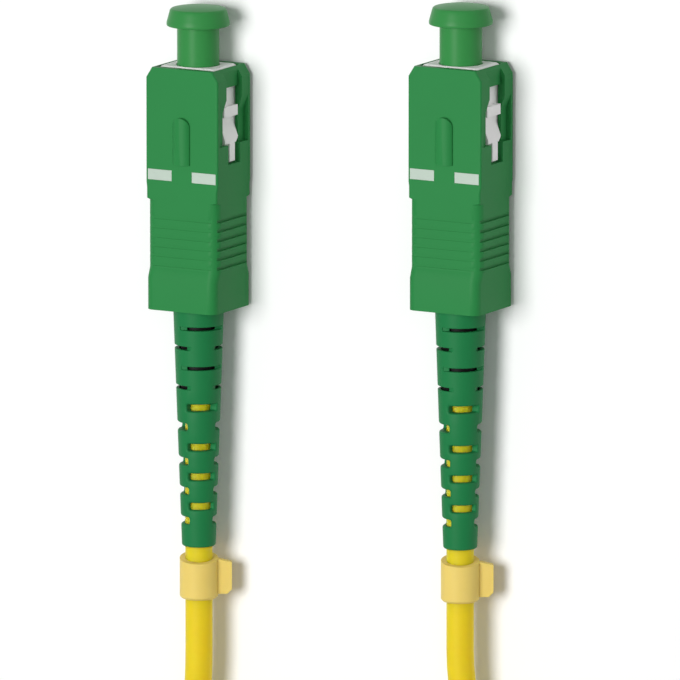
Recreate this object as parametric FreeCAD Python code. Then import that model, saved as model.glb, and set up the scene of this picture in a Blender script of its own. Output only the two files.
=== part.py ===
import FreeCAD
import Part

import math
import os

# A simplex fibre optic patch cable: one jacketed fibre with a push-pull connector on each end.
# Both connectors lie side by side on the floor with their keys up and their caps towards +Y, and the
# length between them is wound into a tied coil behind them. Millimetres and degrees throughout.
#
# Each connector is modelled about its own axis, with the grip's front edge at Y = 0 and stations
# counted backwards from there as negative Y. It is then moved to its place in the shared frame.

Vector = FreeCAD.Vector
AXIS = Vector(0, 1, 0)
UP = Vector(0, 0, 1)

# Layout of the two ends
END_SPACING = 32.6
END_STAGGER = 2.7
ENDS = {"a": -1, "b": 1}

# Grip, the sliding outer housing: keyed face, waist with finger ribs, flared tail
GRIP_WIDTH = 9.0
GRIP_HEIGHT = 7.4
GRIP_LENGTH = 26.7
GRIP_CORNER = 0.25
GRIP_TRAVEL = 2.0
NOSE_CHAMFER = 0.72
NOSE_TAPER = 1.12
WAIST_WIDTH = 8.8
WAIST_HEIGHT = 7.5
WAIST_CORNER = 1.1
WAIST_START = 12.7
WAIST_SLOPE = 0.5
ROUND_START = 14.45
ROUND_STEP = 0.2
TAIL_WIDTH = 8.7
TAIL_HEIGHT = 8.4
TAIL_CORNER = 1.0
TAIL_LENGTH = 3.5
TAIL_SLOPE = 1.1
CAVITY_DEPTH = 17.8

# Key on the top face and the two pockets that hold the insertion marks
KEY_WIDTH = 2.1
KEY_HEIGHT = 0.6
KEY_CROWN = 0.45
KEY_START = 5.3
KEY_LENGTH = 5.2
MARK_LENGTH = 3.0
MARK_WIDTH = 1.2
MARK_START = 11.2
MARK_GAP = 2.5
MARK_DEPTH = 0.08

# Finger ribs across the waist
RIB_COUNT = 6
RIB_PITCH = 1.04
RIB_START = 16.5
RIB_GROOVE = 0.34
RIB_DEPTH = 0.22
TOP_RIB_DEPTH = 0.1

# Side windows of the grip: a channel open to the front, a bridge, the latch window and its cam pocket,
# with the walls that the channel and the pocket leave over the cavity
CHANNEL_HEIGHT = 3.4
CHANNEL_WALL = 0.35
BRIDGE_LENGTH = 2.1
WINDOW_END = 8.35
TAIL_SLOT_HEIGHT = 2.6
TAIL_SLOT_END = 10.5
CAM_START = 3.3
CAM_SLOPE = 1.5
CAM_WALL = 0.35
CAM_RIM = 0.6

# Plug frame inside the grip, with the latch shoulders that show in the windows
FRAME_WIDTH = 7.1
FRAME_HEIGHT = 5.6
FRAME_PROUD = 0.1
FRAME_LENGTH = 16.1
FRAME_CHAMFER = 0.35
SLEEVE_BORE = 4.8
SLEEVE_DEPTH = 5.1
SEAT_WALL = 1.0
SEAT_HOLE_GAP = 0.2
SLIDE_GAP = 0.1
TAB_LENGTH = 1.15
TAB_HEIGHT = 3.0
TAB_PROUD = 0.55
SHOULDER_HEIGHT = 3.0
SHOULDER_PROUD = 0.65
SHOULDER_RISE = 1.7
SHOULDER_FLAT = 0.4
SHOULDER_CHAMFER = 0.6
LATCH_TAIL_HEIGHT = 1.2
LATCH_TAIL_LENGTH = 2.0
LATCH_TAIL_PROUD = 0.7

# Ferrule with its angled end, its flange, the spring behind it and the fibre through it
FERRULE_DIAMETER = 2.5
FERRULE_LENGTH = 10.5
FERRULE_PROUD = 1.4
FERRULE_LEAD_IN = 0.35
END_ANGLE = 8.0
FERRULE_TRAVEL = 2.0
FLANGE_DIAMETER = 4.1
FLANGE_LENGTH = 1.5
FLANGE_FLAT = 3.6
HUB_DIAMETER = 3.1
HUB_LENGTH = 4.3
WIRE_DIAMETER = 0.42
SPRING_TURNS = 5
SPRING_LENGTH = 5.6
BUFFER_DIAMETER = 0.9
GLASS_DIAMETER = 0.125
BUFFER_IN_JACKET = 3.0
RUNNING_GAP = 0.1

# Back post that closes the plug frame, and the sleeve crimped over it and the jacket
POST_COLLAR_DIAMETER = 5.4
POST_COLLAR_LENGTH = 1.4
POST_BARREL_DIAMETER = 3.4
POST_BARREL_LENGTH = 9.2
POST_BORE = 1.7
POST_GROOVES = 5
POST_GROOVE_PITCH = 1.2
POST_GROOVE_DEPTH = 0.15
CRIMP_WALL = 0.4
CRIMP_START = 19.0
CRIMP_ON_JACKET = 9.3

# Boot: a tapered strain relief with saw cuts from four sides, turned a little on the axis
BOOT_HEAD_DIAMETER = 5.55
BOOT_TIP_DIAMETER = 3.7
BOOT_START = 20.0
BOOT_VISIBLE = 26.5
BOOT_GAP = 0.15
BOOT_BORE_GAP = 0.05
BOOT_RIM = 0.45
RIM_SHARE = 0.9
BOOT_ROLL = 40.0
CUT_WIDTH = 0.55
NARROW_CUT_COUNT = 4
WIDE_CUT_WIDTH = 0.78
CUT_FLOOR = 1.25
CUT_START = 2.1
CUT_PITCH = 2.2
CUT_COUNT = 7
FINE_CUT_PITCH = 1.65
FINE_CUT_COUNT = 5

# Dust cap over the ferrule
CAP_HEAD_DIAMETER = 6.9
CAP_TOP_DIAMETER = 6.1
CAP_HEAD_LENGTH = 2.2
CAP_RIM = 0.35
CAP_CROWN = 0.35
CAP_EDGE = 0.35
CAP_STEM_DIAMETER = 4.6
CAP_STEM_LENGTH = 4.3
CAP_INSERTED = 2.6
CAP_BORE_SPARE = 0.6
CAP_GAP = 0.06

# Clip on the cable, just behind the boot
CLIP_WALL = 0.6
CLIP_LENGTH = 4.9
CLIP_OFFSET = 0.95
CLIP_SLANT = 0.85
CLIP_CHAMFER = 0.25
FLAG_REACH = 1.5
FLAG_LENGTH = 4.4
FLAG_SLOPE = 0.9
FLAG_THICKNESS = 1.1
FLAG_CORNER = 0.5
FLAG_ROLL = 121.0

# Cable and the coil of its put-away length
CABLE_DIAMETER = 3.0
COIL_RADIUS = 18.2
COIL_COLUMNS = 4
COIL_PITCH = 3.02
COIL_ROWS = 2
COIL_CORNER = 1.4
COIL_BEHIND_CLIP = 48.25
ROUTE_LEVEL_END = 11.25
ROUTE_FLOOR_START = 22.25
ROUTE_COIL_LEAD = 14.0
ROUTE_COIL_END = 8.0
ARC_SHARE = 0.45
TIE_THICKNESS = 0.8
TIE_ANGLE = 24.0

# Places that follow from the sizes above
FRAME_FRONT = FRAME_PROUD
FRAME_BACK = FRAME_FRONT - FRAME_LENGTH
SEAT_FRONT = FRAME_FRONT - SLEEVE_DEPTH
SEAT_BACK = SEAT_FRONT - SEAT_WALL
FERRULE_TIP = FRAME_FRONT + FERRULE_PROUD
FERRULE_BACK = FERRULE_TIP - FERRULE_LENGTH
FLANGE_FRONT = SEAT_BACK - RUNNING_GAP / 2
FLANGE_BACK = FLANGE_FRONT - FLANGE_LENGTH
HUB_BACK = FLANGE_BACK - HUB_LENGTH
POST_FRONT = FLANGE_BACK - SPRING_LENGTH
POST_COLLAR_BACK = FRAME_BACK - POST_COLLAR_LENGTH
POST_BACK = POST_COLLAR_BACK - POST_BARREL_LENGTH
JACKET_FRONT = POST_BACK - RUNNING_GAP
CRIMP_BACK = JACKET_FRONT - CRIMP_ON_JACKET
GRIP_BACK = -GRIP_LENGTH
BOOT_BACK = GRIP_BACK - BOOT_VISIBLE
CLIP_FRONT = BOOT_BACK - CLIP_OFFSET
CLIP_BACK = CLIP_FRONT - CLIP_LENGTH
CAP_STEM_BACK = FRAME_FRONT - CAP_INSERTED
CAP_HEAD_BACK = FRAME_FRONT + CAP_STEM_LENGTH
CAP_FRONT = CAP_HEAD_BACK + CAP_HEAD_LENGTH
CAVITY_WIDTH = FRAME_WIDTH + 2 * SLIDE_GAP
CAVITY_HEIGHT = FRAME_HEIGHT + 2 * SLIDE_GAP
CHANNEL_DEPTH = (GRIP_WIDTH - CAVITY_WIDTH) / 2 - CHANNEL_WALL
CAM_DEPTH = (GRIP_WIDTH - CAVITY_WIDTH) / 2 - CAM_WALL
AXIS_HEIGHT = TAIL_HEIGHT / 2
MIDDLE = (CAP_FRONT + CLIP_BACK) / 2
COIL_CENTRE = CLIP_BACK - COIL_BEHIND_CLIP - MIDDLE
COIL_INNER = COIL_RADIUS - COIL_PITCH * (COIL_COLUMNS - 1) / 2 - CABLE_DIAMETER / 2
COIL_OUTER = COIL_RADIUS + COIL_PITCH * (COIL_COLUMNS - 1) / 2 + CABLE_DIAMETER / 2
COIL_HEIGHT = COIL_PITCH * (COIL_ROWS - 1) + CABLE_DIAMETER


def bar(diameter, front, back):
    """Return a round bar on the axis between two stations."""
    return Part.makeCylinder(diameter / 2, front - back, Vector(0, back, 0), AXIS)


def block(width, height, front, back):
    """Return a rectangular bar centred on the axis between two stations."""
    return Part.makeBox(width, front - back, height, Vector(-width / 2, back, -height / 2))


def prism(points, direction):
    """Return a closed outline of straight edges, pushed along a direction."""
    corners = [Vector(*point) for point in points]
    return Part.Face(Part.makePolygon(corners + corners[:1])).extrude(direction)


def turned(profile):
    """Return the solid of an outline of (radius, station) points turned about the axis."""
    corners = [Vector(radius, station, 0) for radius, station in profile]
    return Part.Face(Part.makePolygon(corners + corners[:1])).revolve(Vector(), AXIS, 360)


def rounded_wire(width, height, radius, station):
    """Return a rectangle with round corners, square to the axis at one station."""
    x, z = width / 2 - radius, height / 2 - radius
    edges = []
    for step, (cx, cz) in enumerate([(x, z), (-x, z), (-x, -z), (x, -z)]):
        turn = step * math.pi / 2
        points = []
        for angle in (turn, turn + math.pi / 4, turn + math.pi / 2):
            points.append(Vector(cx + radius * math.cos(angle), station, cz + radius * math.sin(angle)))
        edges.append(Part.Arc(*points).toShape())
    sides = []
    for arc, following in zip(edges, edges[1:] + edges[:1]):
        sides += [arc, Part.makeLine(arc.Vertexes[-1].Point, following.Vertexes[0].Point)]
    return Part.Wire(sides)


def arc_radius(chord, rise):
    """Return the radius of an arc from its chord and its rise."""
    return (chord * chord / 4 + rise * rise) / (2 * rise)


def both_sides(shape):
    """Return a shape of the +X side together with its mirror image on the -X side."""
    return shape.fuse(shape.mirror(Vector(), Vector(1, 0, 0)))


def side_plate(half_outline, inner, outer):
    """Return a plate on the +X side from a half outline of (station, height) points above the axis."""
    lower = [(station, -height) for station, height in reversed(half_outline)]
    points = [(inner, station, height) for station, height in half_outline + lower]
    return prism(points, Vector(outer - inner, 0, 0))


def grip_body():
    """Return the outer form of the grip: square nose, narrow waist and flared tail."""
    waist_end = GRIP_LENGTH - TAIL_LENGTH - TAIL_SLOPE
    sections = [
        (0, GRIP_WIDTH - 2 * NOSE_CHAMFER, GRIP_HEIGHT, GRIP_CORNER),
        (NOSE_TAPER, GRIP_WIDTH, GRIP_HEIGHT, GRIP_CORNER),
        (WAIST_START, GRIP_WIDTH, GRIP_HEIGHT, GRIP_CORNER),
        (WAIST_START + WAIST_SLOPE, WAIST_WIDTH, WAIST_HEIGHT, GRIP_CORNER),
        (ROUND_START, WAIST_WIDTH, WAIST_HEIGHT, GRIP_CORNER),
        (ROUND_START + ROUND_STEP, WAIST_WIDTH, WAIST_HEIGHT, WAIST_CORNER),
        (waist_end, WAIST_WIDTH, WAIST_HEIGHT, WAIST_CORNER),
        (waist_end + TAIL_SLOPE, TAIL_WIDTH, TAIL_HEIGHT, TAIL_CORNER),
        (GRIP_LENGTH, TAIL_WIDTH, TAIL_HEIGHT, TAIL_CORNER),
    ]
    wires = [rounded_wire(width, height, corner, -station) for station, width, height, corner in sections]
    return Part.makeLoft(wires, True, True)


def grip_key():
    """Return the key: a crowned rib on the top face with a round front end."""
    base = CAVITY_HEIGHT / 2 + SLIDE_GAP
    top = GRIP_HEIGHT / 2 + KEY_HEIGHT
    nose = KEY_START + KEY_WIDTH / 2
    back = KEY_START + KEY_LENGTH
    rib = Part.makeBox(KEY_WIDTH, back - nose, top - base, Vector(-KEY_WIDTH / 2, -back, base))
    rib = rib.fuse(Part.makeCylinder(KEY_WIDTH / 2, top - base, Vector(0, -nose, base), UP))
    crown_radius = arc_radius(KEY_WIDTH, KEY_CROWN)
    crown = Part.makeCylinder(crown_radius, back, Vector(0, -back, top - crown_radius), AXIS)
    walls = Part.makeBox(KEY_WIDTH, back, top - KEY_CROWN - base, Vector(-KEY_WIDTH / 2, -back, base))
    return rib.common(crown.fuse(walls))


def mark_pockets():
    """Return the two shallow pockets for the insertion marks, level with each other on the top face."""
    floor = GRIP_HEIGHT / 2 - MARK_DEPTH
    corner = Vector(MARK_GAP / 2, -MARK_START - MARK_WIDTH, floor)
    return both_sides(Part.makeBox(MARK_LENGTH, MARK_WIDTH, KEY_HEIGHT, corner))


def rib_grooves():
    """Return the grooves between the finger ribs, on the narrow sides and fainter on the broad ones."""
    grooves = []
    for step in range(RIB_COUNT):
        back = -RIB_START - step * RIB_PITCH - RIB_GROOVE / 2
        outside = block(GRIP_WIDTH, TAIL_HEIGHT, back + RIB_GROOVE, back)
        core = block(WAIST_WIDTH - 2 * RIB_DEPTH, WAIST_HEIGHT - 2 * TOP_RIB_DEPTH, back + RIB_GROOVE, back)
        grooves.append(outside.cut(core))
    return grooves


def side_windows():
    """Return what is cut from the grip's narrow sides for the latch shoulders."""
    face = GRIP_WIDTH / 2
    floor = face - CHANNEL_DEPTH
    inside = CAVITY_WIDTH / 2 - SLIDE_GAP
    channel = side_plate([(0, CHANNEL_HEIGHT / 2), (-WINDOW_END, CHANNEL_HEIGHT / 2)], floor, face)
    window = side_plate(
        [(-BRIDGE_LENGTH, CHANNEL_HEIGHT / 2), (-WINDOW_END, CHANNEL_HEIGHT / 2)], inside, face)
    slot = side_plate(
        [(-WINDOW_END, TAIL_SLOT_HEIGHT / 2), (-TAIL_SLOT_END, TAIL_SLOT_HEIGHT / 2)], inside, face)
    reach = GRIP_HEIGHT - 2 * CAM_RIM
    bottom = -reach / 2
    cam = prism(
        [(face, -CAM_START, bottom), (face - CAM_DEPTH, -CAM_START - CAM_SLOPE, bottom),
         (face - CAM_DEPTH, -WINDOW_END, bottom), (face, -WINDOW_END, bottom)],
        Vector(0, 0, reach))
    return both_sides(channel.fuse([window, slot, cam]))


def grip():
    """Return the sliding outer housing."""
    boot_bore = BOOT_HEAD_DIAMETER + 2 * BOOT_GAP
    body = grip_body().fuse(grip_key())
    cuts = [
        block(CAVITY_WIDTH, CAVITY_HEIGHT, 0, -CAVITY_DEPTH),
        bar(boot_bore, -CAVITY_DEPTH, GRIP_BACK),
        mark_pockets(),
        side_windows(),
    ]
    return body.cut(cuts + rib_grooves())


def latch():
    """Return the latch of the +X side: stop tab, ramped shoulder and the thin rib behind it."""
    side = FRAME_WIDTH / 2
    root = side - SLIDE_GAP
    crest = side + SHOULDER_PROUD
    tab_front = -BRIDGE_LENGTH - GRIP_TRAVEL - SLIDE_GAP
    tab_back = tab_front - TAB_LENGTH
    shoulder_back = -WINDOW_END + SLIDE_GAP
    ramp_back = shoulder_back + SHOULDER_FLAT
    ramp_front = ramp_back + SHOULDER_RISE
    tab = side_plate([(tab_front, TAB_HEIGHT / 2), (tab_back, TAB_HEIGHT / 2)], root, side + TAB_PROUD)
    half = SHOULDER_HEIGHT / 2
    outline = prism(
        [(root, ramp_front, half), (root, shoulder_back, half), (root, shoulder_back, SHOULDER_CHAMFER - half),
         (root, shoulder_back + SHOULDER_CHAMFER, -half), (root, ramp_front, -half)],
        Vector(crest - root, 0, 0))
    wedge = prism(
        [(root, ramp_front, -half), (side, ramp_front, -half), (crest, ramp_back, -half),
         (crest, shoulder_back, -half), (root, shoulder_back, -half)],
        Vector(0, 0, SHOULDER_HEIGHT))
    rib_back = shoulder_back - LATCH_TAIL_LENGTH
    rib = side_plate(
        [(shoulder_back, LATCH_TAIL_HEIGHT / 2), (rib_back, LATCH_TAIL_HEIGHT / 2)],
        root, side + LATCH_TAIL_PROUD)
    return tab.fuse([outline.common(wedge), rib])


def plug_frame():
    """Return the inner frame that locates the ferrule and carries the latches."""
    nose = FRAME_FRONT - FRAME_CHAMFER
    sections = [
        (FRAME_FRONT, FRAME_WIDTH - 2 * FRAME_CHAMFER, FRAME_HEIGHT - 2 * FRAME_CHAMFER),
        (nose, FRAME_WIDTH, FRAME_HEIGHT),
        (FRAME_BACK, FRAME_WIDTH, FRAME_HEIGHT),
    ]
    wires = [rounded_wire(width, height, FRAME_CHAMFER, station) for station, width, height in sections]
    body = Part.makeLoft(wires, True, True).fuse(both_sides(latch()))
    bores = [
        bar(SLEEVE_BORE, FRAME_FRONT, SEAT_FRONT),
        bar(FERRULE_DIAMETER + 2 * SEAT_HOLE_GAP, SEAT_FRONT, SEAT_BACK),
        bar(SLEEVE_BORE, SEAT_BACK, FRAME_BACK),
    ]
    return body.cut(bores)


def ferrule():
    """Return the ferrule: a ground pin with a lead-in cone and an angled end."""
    radius = FERRULE_DIAMETER / 2
    pin = turned([
        (GLASS_DIAMETER / 2, FERRULE_BACK),
        (radius, FERRULE_BACK),
        (radius, FERRULE_TIP - FERRULE_LEAD_IN),
        (radius - FERRULE_LEAD_IN, FERRULE_TIP),
        (GLASS_DIAMETER / 2, FERRULE_TIP),
    ])
    return pin.cut(end_cutter())


def end_cutter():
    """Return the block that grinds the ferrule and its glass to the end angle."""
    reach = FERRULE_DIAMETER
    drop = (FERRULE_DIAMETER / 2 - FERRULE_LEAD_IN) * math.tan(math.radians(END_ANGLE))
    block_shape = Part.makeBox(2 * reach, reach, 2 * reach, Vector(-reach, 0, -reach))
    block_shape.rotate(Vector(), Vector(1, 0, 0), -END_ANGLE)
    block_shape.translate(Vector(0, FERRULE_TIP - drop, 0))
    return block_shape


def ferrule_flange():
    """Return the flange pressed on the ferrule, with two flats and a hub for the spring."""
    hub = HUB_DIAMETER / 2
    buffer_bore = BUFFER_DIAMETER / 2
    body = turned([
        (FERRULE_DIAMETER / 2, FLANGE_FRONT),
        (FLANGE_DIAMETER / 2, FLANGE_FRONT),
        (FLANGE_DIAMETER / 2, FLANGE_BACK),
        (hub, FLANGE_BACK),
        (hub, HUB_BACK),
        (buffer_bore, HUB_BACK),
        (buffer_bore, FERRULE_BACK),
        (FERRULE_DIAMETER / 2, FERRULE_BACK),
    ])
    return body.common(block(FLANGE_DIAMETER, FLANGE_FLAT, FLANGE_FRONT, HUB_BACK))


def spring():
    """Return the compression spring between the flange and the back post."""
    radius = HUB_DIAMETER / 2 + RUNNING_GAP + WIRE_DIAMETER / 2
    height = SPRING_LENGTH - WIRE_DIAMETER - RUNNING_GAP
    helix = Part.makeHelix(height / SPRING_TURNS, height, radius)
    section = Part.makeCircle(WIRE_DIAMETER / 2, Vector(radius, 0, 0), AXIS)
    coil = Part.Wire(helix.Edges).makePipeShell([Part.Wire(section)], True, True)
    coil.rotate(Vector(), Vector(1, 0, 0), -90)
    coil.translate(Vector(0, POST_FRONT + RUNNING_GAP / 2 + WIRE_DIAMETER / 2, 0))
    return coil


def fibre():
    """Return the fibre: its buffer from the jacket to the ferrule, and the bare glass in the ferrule."""
    buffer = bar(BUFFER_DIAMETER, FERRULE_BACK, JACKET_FRONT - BUFFER_IN_JACKET)
    glass = bar(GLASS_DIAMETER, FERRULE_TIP, FERRULE_BACK).cut(end_cutter())
    return buffer.fuse(glass)


def back_post():
    """Return the stop body: plug in the frame, collar behind it and a grooved barrel for the crimp."""
    plug = SLEEVE_BORE / 2 - RUNNING_GAP / 2
    barrel = POST_BARREL_DIAMETER / 2
    hub_room = HUB_DIAMETER / 2 + RUNNING_GAP
    hub_floor = HUB_BACK - FERRULE_TRAVEL - RUNNING_GAP
    body = turned([
        (hub_room, POST_FRONT),
        (plug, POST_FRONT),
        (plug, FRAME_BACK),
        (POST_COLLAR_DIAMETER / 2, FRAME_BACK),
        (POST_COLLAR_DIAMETER / 2, POST_COLLAR_BACK),
        (barrel, POST_COLLAR_BACK),
        (barrel, POST_BACK),
        (POST_BORE / 2, POST_BACK),
        (POST_BORE / 2, hub_floor),
        (hub_room, hub_floor),
    ])
    grooves = []
    for step in range(POST_GROOVES):
        front = -CRIMP_START - (step + 0.5) * POST_GROOVE_PITCH
        ring = bar(POST_COLLAR_DIAMETER, front, front - POST_GROOVE_PITCH / 2)
        core = bar(POST_BARREL_DIAMETER - 2 * POST_GROOVE_DEPTH, front, front - POST_GROOVE_PITCH / 2)
        grooves.append(ring.cut(core))
    return body.cut(grooves)


def crimp_sleeve():
    """Return the sleeve crimped over the barrel in front and over the jacket behind."""
    barrel = POST_BARREL_DIAMETER / 2
    jacket = CABLE_DIAMETER / 2
    return turned([
        (barrel, -CRIMP_START),
        (barrel + CRIMP_WALL, -CRIMP_START),
        (barrel + CRIMP_WALL, POST_BACK),
        (jacket + CRIMP_WALL, JACKET_FRONT),
        (jacket + CRIMP_WALL, CRIMP_BACK),
        (jacket, CRIMP_BACK),
        (jacket, JACKET_FRONT),
        (barrel, POST_BACK),
    ])


def boot_cut(station, roll, width):
    """Return one pair of opposite saw cuts with round floors at a station behind the grip."""
    middle = GRIP_BACK - station
    span = 2 * BOOT_HEAD_DIAMETER
    depth = BOOT_HEAD_DIAMETER - CUT_FLOOR
    radius = width / 2
    floor = CUT_FLOOR + radius
    slab = Part.makeBox(span, width, depth, Vector(-span / 2, middle - radius, floor))
    root = Part.makeCylinder(radius, span, Vector(-span / 2, middle, floor), Vector(1, 0, 0))
    upper = slab.fuse(root)
    pair = upper.fuse(upper.mirror(Vector(), UP))
    pair.rotate(Vector(), AXIS, roll)
    return pair


def boot():
    """Return the slotted strain relief, tapered from the grip to its tip."""
    head = BOOT_HEAD_DIAMETER / 2
    tip = BOOT_TIP_DIAMETER / 2
    sleeve_bore = POST_BARREL_DIAMETER / 2 + CRIMP_WALL + BOOT_BORE_GAP
    cable_bore = CABLE_DIAMETER / 2 + BOOT_BORE_GAP
    shoulder = CRIMP_BACK - BOOT_BORE_GAP
    body = turned([
        (sleeve_bore, -BOOT_START),
        (head, -BOOT_START),
        (head, GRIP_BACK),
        (tip, BOOT_BACK),
        (cable_bore, BOOT_BACK),
        (cable_bore, shoulder),
        (sleeve_bore, shoulder),
    ])
    rim = [edge for edge in body.Edges if edge_is_ring(edge, tip, BOOT_BACK)]
    body = body.makeFillet(min(BOOT_RIM, RIM_SHARE * (tip - cable_bore)), rim)
    cuts = []
    station = CUT_START
    for step in range(CUT_COUNT + FINE_CUT_COUNT):
        width = CUT_WIDTH if step < NARROW_CUT_COUNT else WIDE_CUT_WIDTH
        cuts.append(boot_cut(station, BOOT_ROLL + 90 * (step % 2), width))
        station += CUT_PITCH if step < CUT_COUNT - 1 else FINE_CUT_PITCH
    return body.cut(cuts)


def edge_is_ring(edge, radius, station):
    """Tell whether an edge is the circle of one radius at one station."""
    if edge.Degenerated or not isinstance(edge.Curve, Part.Circle):
        return False
    return abs(edge.Curve.Radius - radius) < 1e-6 and abs(edge.Curve.Center.y - station) < 1e-6


def dust_cap():
    """Return the dust cap: a flared, domed head on a stem that slips over the ferrule."""
    bore = FERRULE_DIAMETER / 2 + CAP_GAP
    bore_floor = FERRULE_TIP + CAP_BORE_SPARE
    stem = CAP_STEM_DIAMETER / 2
    head = CAP_HEAD_DIAMETER / 2
    top = CAP_TOP_DIAMETER / 2
    crown_base = CAP_FRONT - CAP_CROWN
    crown_radius = arc_radius(CAP_TOP_DIAMETER, CAP_CROWN)
    crown_rise = math.sqrt(crown_radius ** 2 - top ** 2 / 4)
    profile = [
        (0, bore_floor),
        (bore, bore_floor),
        (bore, CAP_STEM_BACK),
        (stem, CAP_STEM_BACK),
        (stem, CAP_HEAD_BACK),
        (head, CAP_HEAD_BACK),
        (head, CAP_HEAD_BACK + CAP_RIM),
        (top, crown_base),
    ]
    corners = [Vector(radius, station, 0) for radius, station in profile]
    peak = Vector(0, CAP_FRONT, 0)
    shoulder = Vector(top / 2, CAP_FRONT - crown_radius + crown_rise, 0)
    crown = Part.Arc(corners[-1], shoulder, peak).toShape()
    outline = Part.Wire(Part.makePolygon(corners).Edges + [crown, Part.makeLine(peak, corners[0])])
    body = Part.Face(outline).revolve(Vector(), AXIS, 360)
    rim = [edge for edge in body.Edges if edge_is_ring(edge, top, crown_base)]
    return body.makeFillet(CAP_EDGE, rim)


def cable_clip():
    """Return the snap ring on the cable, cut aslant in front, with a flag to one side."""
    inner = CABLE_DIAMETER / 2
    outer = inner + CLIP_WALL
    chamfer = min(CLIP_CHAMFER, RIM_SHARE * CLIP_WALL)
    ring = turned([
        (inner, CLIP_FRONT),
        (outer, CLIP_FRONT),
        (outer, CLIP_BACK + chamfer),
        (outer - chamfer, CLIP_BACK),
        (inner, CLIP_BACK),
    ])
    reach = outer + FLAG_REACH
    side = -FLAG_THICKNESS / 2
    flag_back = CLIP_FRONT - FLAG_LENGTH
    flag = prism(
        [(side, CLIP_FRONT, 0), (side, CLIP_FRONT - FLAG_SLOPE, reach), (side, flag_back + FLAG_CORNER, reach),
         (side, flag_back, reach - FLAG_CORNER), (side, flag_back, 0)],
        Vector(FLAG_THICKNESS, 0, 0))
    slope = CLIP_SLANT / (2 * outer)
    slant = prism(
        [(-reach, CLIP_FRONT - slope * (reach + outer), -reach), (outer, CLIP_FRONT, -reach),
         (-reach, CLIP_FRONT, -reach)],
        Vector(0, 0, 2 * reach))
    clip = ring.fuse(flag.cut(bar(2 * inner, CLIP_FRONT, CLIP_BACK))).cut(slant)
    clip.rotate(Vector(), AXIS, FLAG_ROLL)
    return clip


def placed(shape, side):
    """Return a shape of one connector moved to its place in the shared frame."""
    shape.translate(Vector(side * END_SPACING / 2, side * END_STAGGER / 2 - MIDDLE, AXIS_HEIGHT))
    return shape


def route(side):
    """Return the corner points of one cable tail, from its crimp to where it joins the coil."""
    x = side * END_SPACING / 2
    shift = side * END_STAGGER / 2 - MIDDLE
    outer_turn = side * (COIL_OUTER - CABLE_DIAMETER / 2)
    level = AXIS_HEIGHT
    floor = CABLE_DIAMETER / 2
    return [
        Vector(x, JACKET_FRONT + shift, level),
        Vector(x, CLIP_BACK - ROUTE_LEVEL_END + shift, level),
        Vector((x + outer_turn) / 2, CLIP_BACK - ROUTE_FLOOR_START + shift, floor),
        Vector(outer_turn, COIL_CENTRE + ROUTE_COIL_LEAD, floor + TIE_THICKNESS),
        Vector(outer_turn, COIL_CENTRE + ROUTE_COIL_END, floor + TIE_THICKNESS),
    ]


def cable_path(points):
    """Return straight runs joined by tangent arcs, each as large as its two runs allow."""
    edges = []
    here = points[0]
    for before, corner, after in zip(points, points[1:], points[2:]):
        back, ahead = before - corner, after - corner
        turn = math.pi - back.getAngle(ahead)
        tangent = ARC_SHARE * min(back.Length, ahead.Length)
        radius = tangent / math.tan(turn / 2)
        back.normalize()
        ahead.normalize()
        start, end = corner + back * tangent, corner + ahead * tangent
        inward = (back + ahead).normalize()
        middle = corner + inward * (radius / math.cos(turn / 2) - radius)
        edges += [Part.makeLine(here, start), Part.Arc(start, middle, end).toShape()]
        print("cable bend radius", round(radius, 1))
        here = end
    edges.append(Part.makeLine(here, points[-1]))
    return Part.Wire(edges)


def cable_tail(side):
    """Return one end of the jacket, from the crimp to the coil, bored in front for the buffer."""
    path = cable_path(route(side))
    start = route(side)[0]
    section = Part.Wire(Part.makeCircle(CABLE_DIAMETER / 2, start, AXIS))
    tube = path.makePipeShell([section], True, True)
    ideal = math.pi * CABLE_DIAMETER ** 2 / 4 * path.Length
    print("cable tail volume over section times length", round(tube.Volume / ideal, 4))
    depth = BUFFER_IN_JACKET + FERRULE_TRAVEL + RUNNING_GAP
    bore = Part.makeCylinder(BUFFER_DIAMETER / 2 + RUNNING_GAP, depth, start, -AXIS)
    return tube.cut(bore)


def coil_section(margin):
    """Return the coil's section with a margin round it, standing on the +Y side of the coil's axis."""
    width = COIL_OUTER - COIL_INNER + 2 * margin
    height = COIL_HEIGHT + 2 * margin
    wire = rounded_wire(width, height, COIL_CORNER + margin, 0)
    wire.rotate(Vector(), UP, 90)
    wire.translate(Vector(0, (COIL_INNER + COIL_OUTER) / 2, TIE_THICKNESS + COIL_HEIGHT / 2))
    return Part.Face(wire)


def cable_coil():
    """Return the outer form of the coiled length."""
    ring = coil_section(0).revolve(Vector(), UP, 360)
    ring.translate(Vector(0, COIL_CENTRE, 0))
    return ring


def coil_tie():
    """Return the strap round the bundle, on the far side of the coil."""
    band = coil_section(TIE_THICKNESS).cut(coil_section(0))
    strap = band.Faces[0].revolve(Vector(), UP, TIE_ANGLE)
    strap.rotate(Vector(), UP, 180 - TIE_ANGLE / 2)
    strap.translate(Vector(0, COIL_CENTRE, 0))
    return strap


def save(name, shape):
    """Write one node, after checking that it is one sound solid."""
    if len(shape.Solids) != 1 or not shape.isValid():
        raise ValueError(name + " is not one sound solid")
    shape.Solids[0].exportStep("parts/" + name + ".step")


CONNECTOR_PIECES = [
    grip, plug_frame, ferrule, ferrule_flange, spring, fibre, back_post, crimp_sleeve, boot, dust_cap, cable_clip]

os.makedirs("parts", exist_ok=True)
save("cable_coil", cable_coil())
save("coil_tie", coil_tie())
for end, end_side in ENDS.items():
    for piece in CONNECTOR_PIECES:
        save(piece.__name__ + "_" + end, placed(piece(), end_side))
    save("cable_tail_" + end, cable_tail(end_side))
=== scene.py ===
import math

import bmesh
import bpy
from bpy.props import FloatProperty, FloatVectorProperty, IntProperty, PointerProperty
from mathutils import Matrix, Vector


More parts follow.
